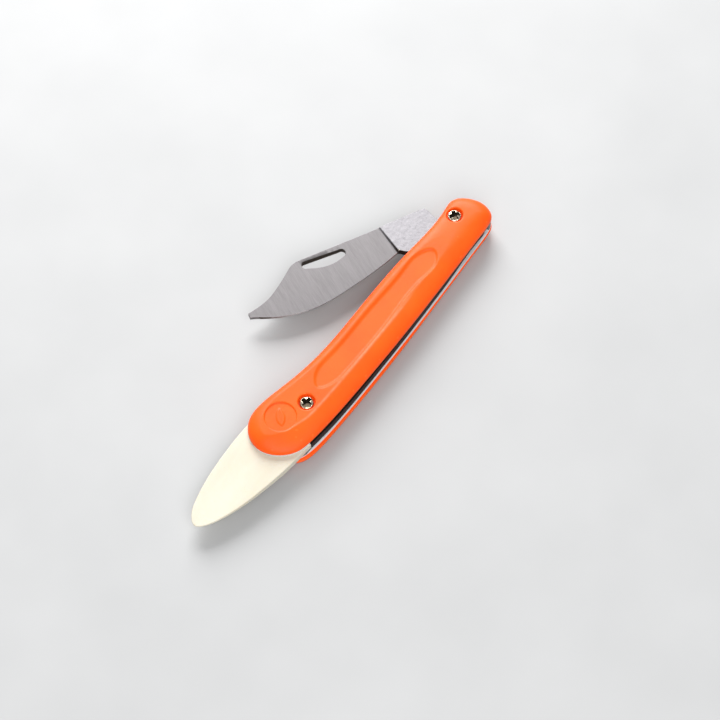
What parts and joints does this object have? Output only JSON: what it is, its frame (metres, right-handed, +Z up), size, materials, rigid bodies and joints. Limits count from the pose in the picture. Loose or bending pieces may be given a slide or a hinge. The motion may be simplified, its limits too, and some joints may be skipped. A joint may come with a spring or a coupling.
{
  "type": "grafting knife",
  "caption": "Folding grafting knife with a slotted clip-point blade, moulded plastic scales over steel liners, a back spring and a fixed plastic bark lifter at the tail.",
  "frame": {"origin": "on the blade's pivot axis, in the plane of the rear scale's flat face that the knife lies on", "axes": "+X from the pivot screw to the tail screw, +Y towards the back spring, +Z up through the layers and out of the front scale"},
  "size_m": [0.1548, 0.0504, 0.0125],
  "materials": {
    "orange_plastic": "moulded, satin to gloss",
    "liner_steel": "stamped sheet, bright edge",
    "spring_steel": "polished back",
    "blade_steel": "ground faces, frosted ricasso",
    "white_plastic": "moulded, semi-gloss",
    "plated_screw": "bright nickel plate",
    "plated_nut": "bright zinc plate",
    "rivet_steel": "set cold, plain"
  },
  "bodies": {
    "handle": {"front_scale": "orange_plastic", "rear_scale": "orange_plastic", "front_liner": "liner_steel", "rear_liner": "liner_steel", "back_spring": "spring_steel", "bark_lifter": "white_plastic", "pivot_screw": "plated_screw", "tail_screw": "plated_screw", "pivot_nut": "plated_nut", "tail_nut": "plated_nut", "pivot_bush": "plated_nut", "spring_rivet_middle": "rivet_steel", "spring_rivet_tail": "rivet_steel", "lifter_rivet": "rivet_steel"},
    "blade": {"blade": "blade_steel"}
  },
  "joints": [
    {"name": "blade_hinge", "type": "hinge", "parent": "handle", "child": "blade", "pos_m": [0, 0, 0.00625], "axis": [0, 0, 1], "range_deg": [-155, 25]}
  ]
}
